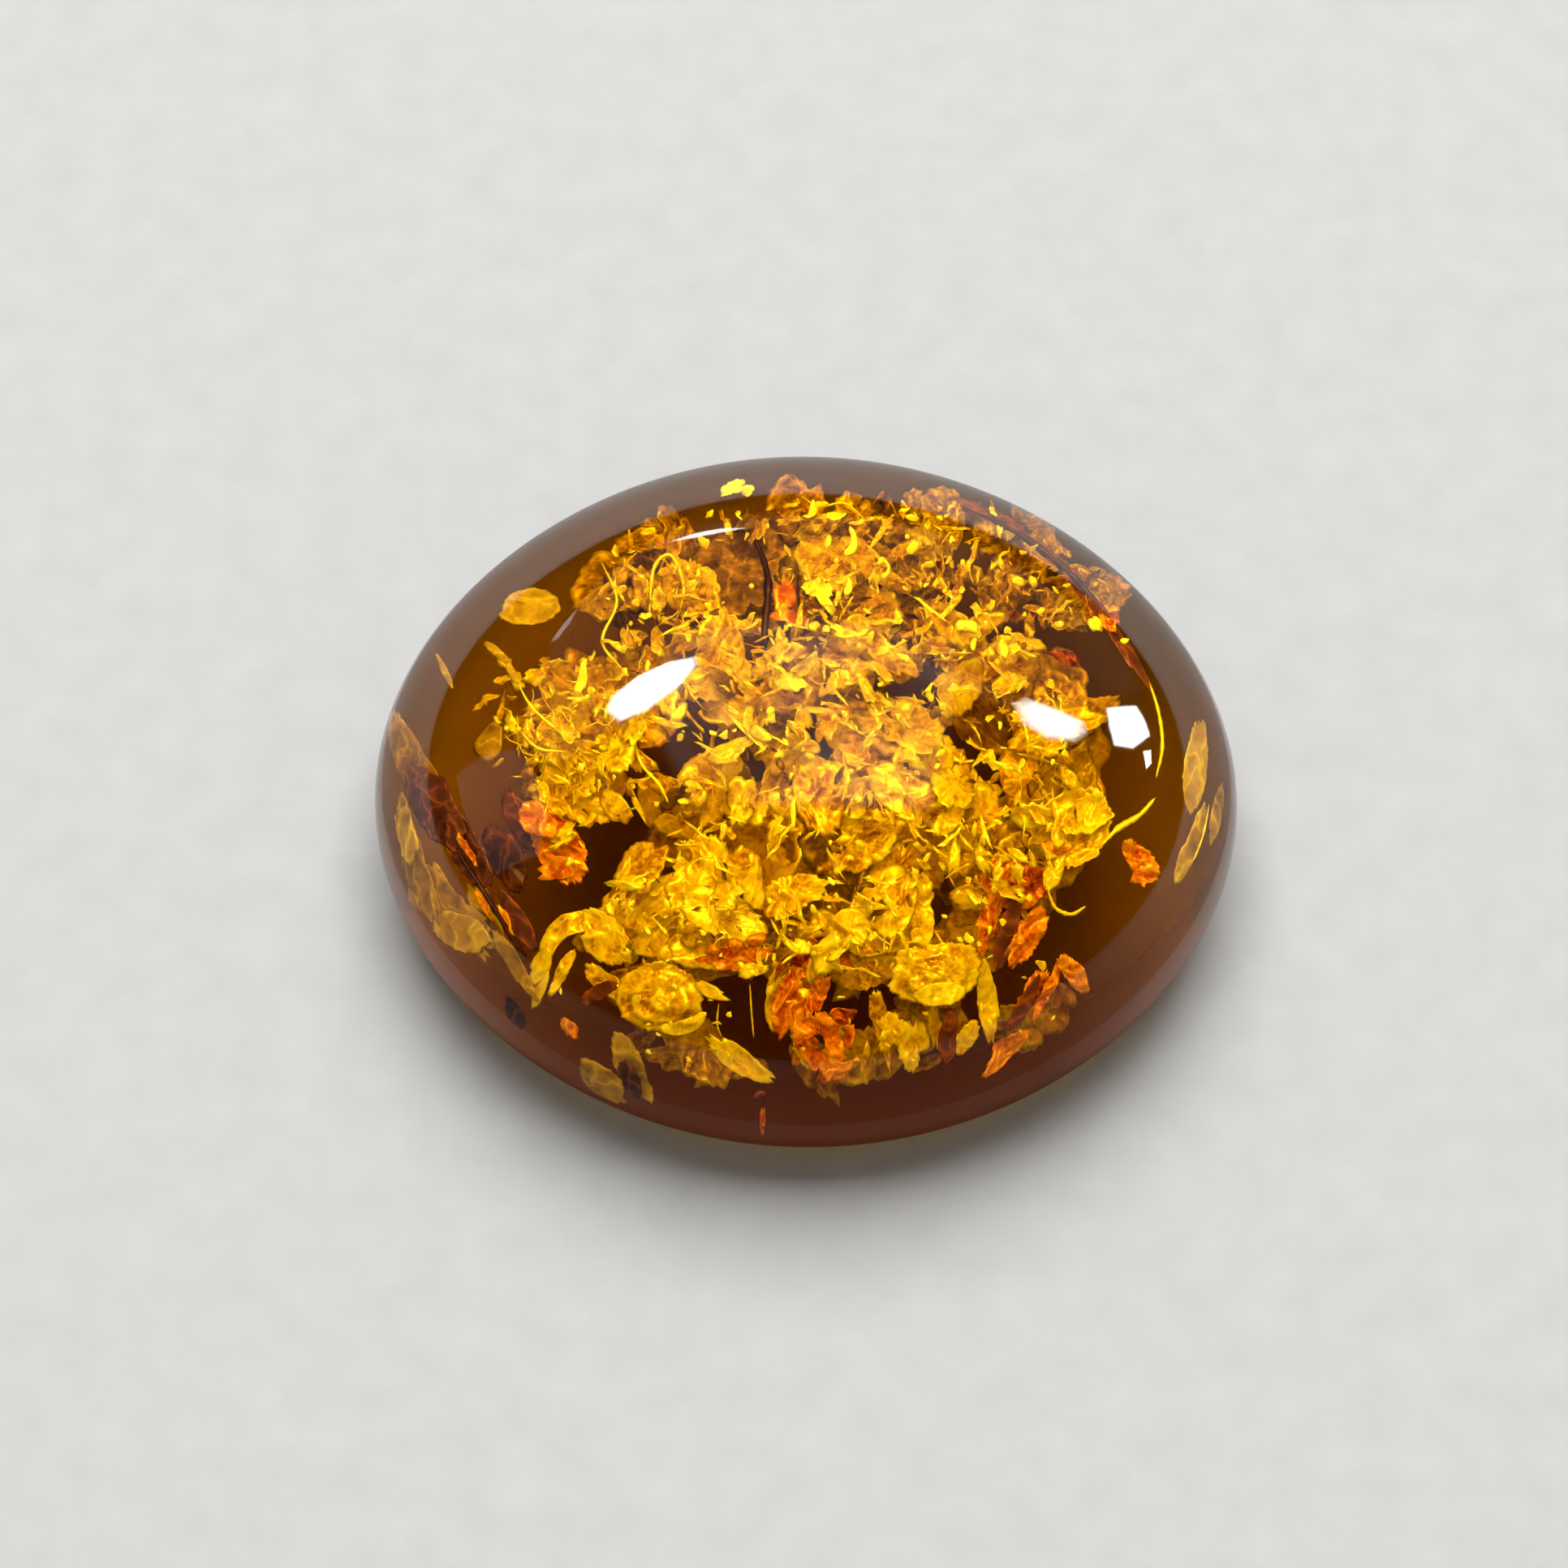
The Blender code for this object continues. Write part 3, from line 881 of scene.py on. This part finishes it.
scatter(ochre, 46, HEART, (350, 268), (44, 84), (2.8, 4.6), (0, 0.7), lean=30, fold_depth=0.1, **BACKDROP)
scatter(gold, 74, HEART, (345, 262), (26, 60), (1.4, 3.2), (0, 0.7), most_rings=14, **SMOOTH)
scatter(gold, 22, (1065, 945), (120, 60), (24, 48), (1.8, 2.8), (0, 0.6), most_rings=14, **SMOOTH)
scatter(gold, 6, (1155, 985), (60, 25), (22, 36), (1.8, 2.6), (0.2, 0.8), most_rings=12, **SMOOTH)
scatter(gold, 36, HEART, (335, 255), (18, 36), (1.0, 2.4), (0, 0.9), lean=55, most_rings=12, grain=0.085)
# Small dark olive sheets: painted shade between the spangles.
scatter(shade_spots_and_films, 100, HEART, (335, 255), (5, 14), (0.8, 1.8), slim=(0.25, 0.7), **SPOTS)
scatter(shade_spots_and_films, 16, HEART, (320, 240), (14, 26), (1.4, 2.6), slim=(0.3, 0.7), **SPOTS)
scatter(crumbs, 170, HEART, (340, 256), (8, 24), (0.7, 2.0), (0.2, 1), slim=(0.15, 0.55), **BITS)
scatter(glints, 400, HEART, (345, 262), (3, 8), (0.5, 2.2), **SPECKS)
scatter(threads, 190, HEART, (330, 250), (10, 30), (0.5, 1.8), (0.2, 1), **SLIVERS)
scatter_lines(threads, 26, HEART, (300, 235), (16, 40), (0.5, 0.9), (0.6, 1.8))
scatter(ochre, 46, UPPER, (316, 100), (22, 52), (2.2, 4.2), lean=40, **BACKDROP)
# Small dark olive sheets: painted shade between the upper spangles.
scatter(shade_spots_and_films, 30, UPPER, (310, 100), (10, 30), (1.8, 4.0), slim=(0.25, 0.7), **SPOTS)
scatter(orange, 7, (1240, 740), (170, 85), (10, 26), (2.0, 3.6), (0, 0.3), slim=(0.2, 0.4))
scatter(crumbs, 90, UPPER, (325, 104), (7, 24), (1.6, 3.8), (0, 0.8), slim=(0.15, 0.6), **BITS)
scatter(glints, 150, UPPER, (325, 105), (2.5, 10), (0.5, 2.2), **SPECKS)
scatter(threads, 60, UPPER, (315, 104), (8, 26), (0.8, 2.6), (0, 0.8), **SLIVERS)
scatter_lines(threads, 34, (690, 900), (70, 70), (16, 48), (0.5, 1.0), (0.7, 1.5), heading=-45)
scatter(crumbs, 44, (690, 890), (95, 100), (8, 24), (1.2, 2.4), slim=(0.15, 0.6), rag=0.35)
scatter(gold, 8, (700, 930), (60, 60), (22, 40), (1.6, 2.6), lean=40)
scatter(crumbs, 18, (800, 1160), (100, 60), (12, 30), (1.6, 2.6), rag=0.3)
scatter(orange, 12, (1010, 1240), (60, 90), (8, 22), (1.2, 2.4))
scatter(glints, 60, (1000, 1230), (330, 90), (2.5, 7), (0.8, 1.8), **SPECKS)
LOW_SHEETS = dict(lean=40, most_rings=10, grain=0.1)
scatter(ochre, 40, (1000, 1225), (320, 108), (22, 54), (2.6, 4.6), (0, 0.4), **LOW_SHEETS)

# The colours of each foil: dark, middle and bright.
GOLD_COLOURS = (0.38, 0.14, 0.0), (0.80, 0.43, 0.001), (1.0, 0.74, 0.008)
OCHRE_COLOURS = (0.20, 0.09, 0.0), (0.50, 0.28, 0.001), (0.90, 0.62, 0.005)
OLIVE_COLOURS = (0.10, 0.038, 0.0), (0.24, 0.105, 0.0), (0.5, 0.25, 0.002)
ORANGE_COLOURS = (0.22, 0.02, 0.0), (0.64, 0.11, 0.0), (0.95, 0.33, 0.003)
VEIL_COLOURS = (0.03, 0.006, 0.004), (0.12, 0.026, 0.010), (0.36, 0.075, 0.012)
PALE_COLOURS = (0.18, 0.075, 0.002), (0.42, 0.20, 0.003), (0.75, 0.43, 0.012)
BRIGHT_COLOURS = (0.9, 0.45, 0.0), (1.0, 0.68, 0.005), (1.0, 0.85, 0.03)
THREAD_COLOURS = (0.6, 0.27, 0.0), (0.95, 0.52, 0.001), (1.0, 0.74, 0.01)

shells.make(spangle_material("shell_foil", *GOLD_COLOURS))
gold_foil = spangle_material("gold_foil", *GOLD_COLOURS)
gold.make(gold_foil)
crumbs.make(gold_foil)
ochre.make(spangle_material("ochre_foil", *OCHRE_COLOURS))
# The olive foil colours the painted shade spots and the brown films.
shade_spots_and_films.make(spangle_material("olive_foil", *OLIVE_COLOURS, glow=0.06))
orange.make(spangle_material("orange_foil", *ORANGE_COLOURS, glow=0.06))
veils.make(spangle_material("dark_veil", *VEIL_COLOURS, glow=0.02, crease_highlight_and_bump=0.01, mottling=0.6))
leaves.make(spangle_material("pale_foil", *PALE_COLOURS, glow=0.05, crease_highlight_and_bump=0.03, mottling=1.1))
glints.make(spangle_material("bright_foil", *BRIGHT_COLOURS, glow=0.4))
threads.make(spangle_material("thread_foil", *THREAD_COLOURS, glow=0.2))


# The studio
FAR_CARD = 0.60  # metres from the stone
NEAR_CARD = 0.25
FLOOR_SIDE = 3.0
FLOOR_COLOURS = (0.133, 0.133, 0.130, 1), (0.142, 0.142, 0.139, 1)
FLAG_STEPS = 96
FLAG_HEIGHT = 9 * MM
WALL_BLACK = 0.74
RING_BLACK = 0.4

# What the reflections of the cards cover in the photograph.
LEFT_WINDOW = [
    (745, 878), (752, 860), (786, 832), (826, 814), (858, 808), (861, 818), (838, 846), (798, 876),
    (762, 892),
]  # fmt: skip
RIGHT_WINDOW = [
    (1244, 866), (1262, 858), (1300, 872), (1338, 890), (1342, 906), (1326, 918), (1290, 914), (1258, 894),
]  # fmt: skip
LOW_WINDOW = [(1362, 872), (1400, 868), (1410, 884), (1418, 908), (1396, 926), (1372, 922), (1366, 898)]
SLIVER = [(1408, 928), (1418, 926), (1419, 944), (1412, 952)]
TOP_STREAK = [(816, 669), (850, 657), (890, 650), (924, 650), (890, 656), (852, 663)]
LEFT_STREAK = [(676, 792), (694, 766), (714, 744), (704, 764), (686, 788)]
HAZE = [
    (640, 940), (642, 880), (655, 830), (690, 770), (740, 706), (800, 665), (880, 640), (1000, 632),
    (1120, 644), (1240, 686), (1330, 744), (1392, 812), (1412, 860), (1340, 884), (1280, 896), (1200, 860),
    (1120, 832), (1040, 826), (960, 832), (890, 846), (840, 856), (780, 890), (720, 930), (690, 948),
]  # fmt: skip
HAZE_EDGE = [
    (860, 812), (900, 788), (980, 776), (1080, 782), (1180, 806), (1250, 846), (1280, 888), (1200, 860),
    (1120, 832), (1040, 826), (960, 832), (890, 846),
]  # fmt: skip
LEFT_CARD = [
    (562, 958), (600, 932), (645, 922), (660, 960), (676, 1010), (662, 1060), (612, 1088), (580, 1030),
]  # fmt: skip


def panel(name, middle, toward, size, radiance):
    """A soft square light that isn't mirrored in the polish, facing a point."""
    data = bpy.data.lights.new(name, "AREA")
    data.shape = "SQUARE"
    data.size = size
    data.energy = radiance * math.pi * size**2
    light = bpy.data.objects.new(name, data)
    bpy.context.scene.collection.objects.link(light)
    light.location = middle
    light.rotation_euler = (Vector(toward) - Vector(middle)).to_track_quat("-Z", "Y").to_euler()
    light.visible_camera = False
    light.visible_glossy = False


def stage_piece(name, points, faces, share, material):
    """A studio object, with one value at each point for its material to read."""
    mesh = bpy.data.meshes.new(name)
    mesh.from_pydata(points, [], faces)
    mesh.attributes.new("share", "FLOAT", "POINT").data.foreach_set("value", share)
    mesh.materials.append(material)
    piece = bpy.data.objects.new(name, mesh)
    bpy.context.scene.collection.objects.link(piece)
    piece.visible_camera = False
    piece.visible_diffuse = False
    piece.visible_transmission = False
    piece.visible_shadow = False


def card(name, outline, radiance, distance, soft=0.1):
    """A bright card, cut and hung so that its reflection on the dome has that outline in the photograph."""
    corners = [mirrored(x, y, distance) for x, y in outline]
    middle = sum(corners, Vector()) / len(corners)
    inner = [corner.lerp(middle, soft) for corner in corners]
    count = len(corners)
    faces = []
    for here in range(count):
        after = (here + 1) % count
        faces.append((here, after, count + after, count + here))
        faces.append((count + here, count + after, 2 * count))
    material = bpy.data.materials.new(name)
    material.use_nodes = True
    material.cycles.emission_sampling = "NONE"
    nodes, links = material.node_tree.nodes, material.node_tree.links
    nodes.clear()
    glow = nodes.new("ShaderNodeEmission")
    strength = math_node(nodes, links, "MULTIPLY", attribute(nodes, "share"), radiance)
    links.new(strength, glow.inputs["Strength"])
    links.new(glow.outputs[0], nodes.new("ShaderNodeOutputMaterial").inputs["Surface"])
    share = [0.0] * count + [1.0] * (count + 1)
    stage_piece(name, [*corners, *inner, middle], faces, share, material)


def front_flag():
    """A grey-black ring on the floor and a low wall round the front, seen only in the polish of the rim."""
    points, share, faces = [], [], []
    for step in range(FLAG_STEPS):
        turn = 2 * math.pi * step / FLAG_STEPS
        x, y = math.cos(turn), math.sin(turn)
        wall = min(1, max(0, (-y - 0.1) / 0.7)) ** 1.3 * WALL_BLACK
        foot_x, foot_y = (HALF_LENGTH + 3 * MM) * x, (HALF_WIDTH + 2 * MM) * y
        under_x, under_y = HALF_LENGTH * 0.7 * x, HALF_WIDTH * 0.7 * y
        points += [(foot_x, foot_y, FLAG_HEIGHT), (foot_x, foot_y, 0), (under_x, under_y, 0)]
        points += [(foot_x, foot_y, 0), (4 * foot_x, 4 * foot_y, 0)]
        share += [wall, wall, max(RING_BLACK, wall), RING_BLACK, 0.0]
    for step in range(FLAG_STEPS):
        here, after = 5 * step, 5 * ((step + 1) % FLAG_STEPS)
        faces += [(here + side, after + side, after + side + 1, here + side + 1) for side in (0, 1, 3)]
    material = bpy.data.materials.new("black_card")
    material.use_nodes = True
    material.cycles.emission_sampling = "NONE"
    nodes, links = material.node_tree.nodes, material.node_tree.links
    nodes.clear()
    black = nodes.new("ShaderNodeEmission")
    black.inputs["Strength"].default_value = 0
    mix = nodes.new("ShaderNodeMixShader")
    links.new(attribute(nodes, "share"), mix.inputs[0])
    links.new(nodes.new("ShaderNodeBsdfTransparent").outputs[0], mix.inputs[1])
    links.new(black.outputs[0], mix.inputs[2])
    links.new(mix.outputs[0], nodes.new("ShaderNodeOutputMaterial").inputs["Surface"])
    stage_piece("front_flag", points, faces, share, material)


def make_floor():
    mesh = bpy.data.meshes.new("floor")
    side = FLOOR_SIDE
    corners = [(-side, -side), (side, -side), (side, side), (-side, side)]
    mesh.from_pydata([(x, y, -FLOOR_GAP) for x, y in corners], [], [(0, 1, 2, 3)])
    floor = bpy.data.objects.new("floor", mesh)
    bpy.context.scene.collection.objects.link(floor)
    material, nodes, links, surface = new_material("pale_floor")
    place = nodes.new("ShaderNodeTexCoord")
    flecks = nodes.new("ShaderNodeTexNoise")
    flecks.inputs["Scale"].default_value = 900
    flecks.inputs["Detail"].default_value = 4
    links.new(place.outputs["Object"], flecks.inputs["Vector"])
    paint = nodes.new("ShaderNodeValToRGB")
    paint.color_ramp.elements[0].position = 0.3
    paint.color_ramp.elements[0].color = FLOOR_COLOURS[0]
    paint.color_ramp.elements[1].position = 0.7
    paint.color_ramp.elements[1].color = FLOOR_COLOURS[1]
    links.new(flecks.outputs["Fac"], paint.inputs["Fac"])
    links.new(paint.outputs["Color"], surface.inputs["Base Color"])
    surface.inputs["Roughness"].default_value = 0.9
    surface.inputs["Specular IOR Level"].default_value = 0.1
    mesh.materials.append(material)


def make_world():
    world = bpy.data.worlds.new("studio")
    bpy.context.scene.world = world
    world.use_nodes = True
    world.node_tree.nodes["Background"].inputs["Color"].default_value = (1, 1, 1, 1)
    world.node_tree.nodes["Background"].inputs["Strength"].default_value = 1.0
    world.cycles_visibility.glossy = False


make_camera()
make_floor()
make_world()
front_flag()
panel("overhead_light", (0.0, 0.16, 0.44), (0, 0, 0), 0.38, 26.5)
card("haze_card", HAZE, 0.15, FAR_CARD, soft=0.12)
card("haze_edge_card", HAZE_EDGE, 0.32, FAR_CARD - 0.1, soft=0.5)
card("left_card", LEFT_CARD, 0.42, FAR_CARD, soft=0.04)
card("left_window", LEFT_WINDOW, 45, NEAR_CARD, soft=0.22)
card("right_window", RIGHT_WINDOW, 24, NEAR_CARD, soft=0.4)
card("low_window", LOW_WINDOW, 32, NEAR_CARD, soft=0.15)
card("sliver_window", SLIVER, 25, NEAR_CARD)
card("top_streak", TOP_STREAK, 12, NEAR_CARD, soft=0.3)
card("left_streak", LEFT_STREAK, 3, NEAR_CARD, soft=0.3)

scene = bpy.context.scene
scene.view_settings.view_transform = "Standard"
scene.cycles.max_bounces = 8
scene.cycles.transmission_bounces = 8
scene.cycles.diffuse_bounces = 2
scene.cycles.sample_clamp_indirect = 10
